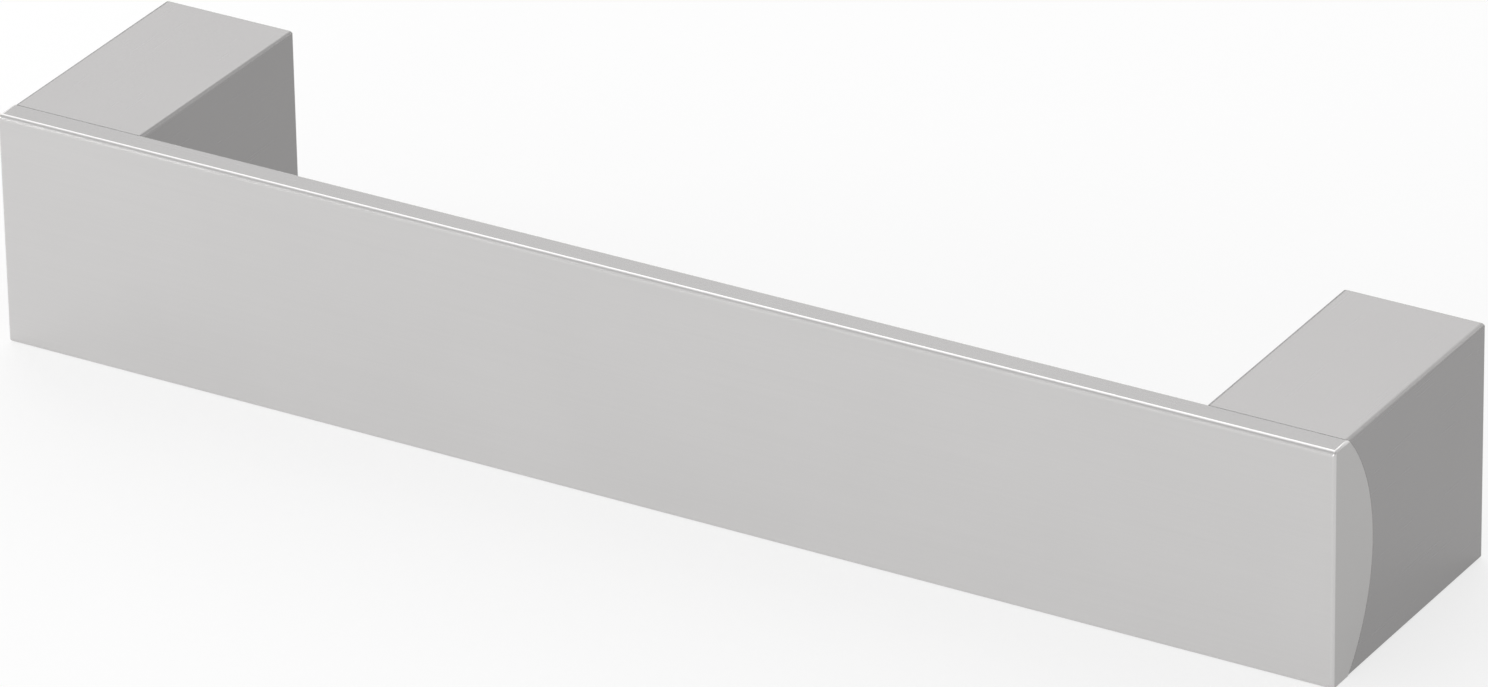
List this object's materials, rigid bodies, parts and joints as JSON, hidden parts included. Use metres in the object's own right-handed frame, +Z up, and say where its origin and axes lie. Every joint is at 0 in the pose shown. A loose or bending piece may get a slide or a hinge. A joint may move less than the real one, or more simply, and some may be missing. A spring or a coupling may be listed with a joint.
{
  "type": "bar handle",
  "caption": "Furniture bar handle: a flat-fronted bar with a crowned back on rectangular legs coped to it, screwed to a drawer or door front from behind.",
  "frame": {"origin": "in the mounting face, midway between the two mounting holes", "axes": "+X along the bar, +Y out of the mounting face towards the furniture front that the handle is screwed to, +Z up; the bar's flat face looks along -Y"},
  "size_m": [0.1424, 0.029, 0.024],
  "materials": {
    "bar_metal": "fine satin brushing along the bar",
    "leg_metal": "smoother and slightly darker satin than the bar",
    "sleeve_steel": "turned and zinc plated"
  },
  "bodies": {
    "root": {"grip_bar": "bar_metal", "left_leg": "leg_metal", "right_leg": "leg_metal", "left_sleeve": "sleeve_steel", "right_sleeve": "sleeve_steel"}
  },
  "joints": []
}
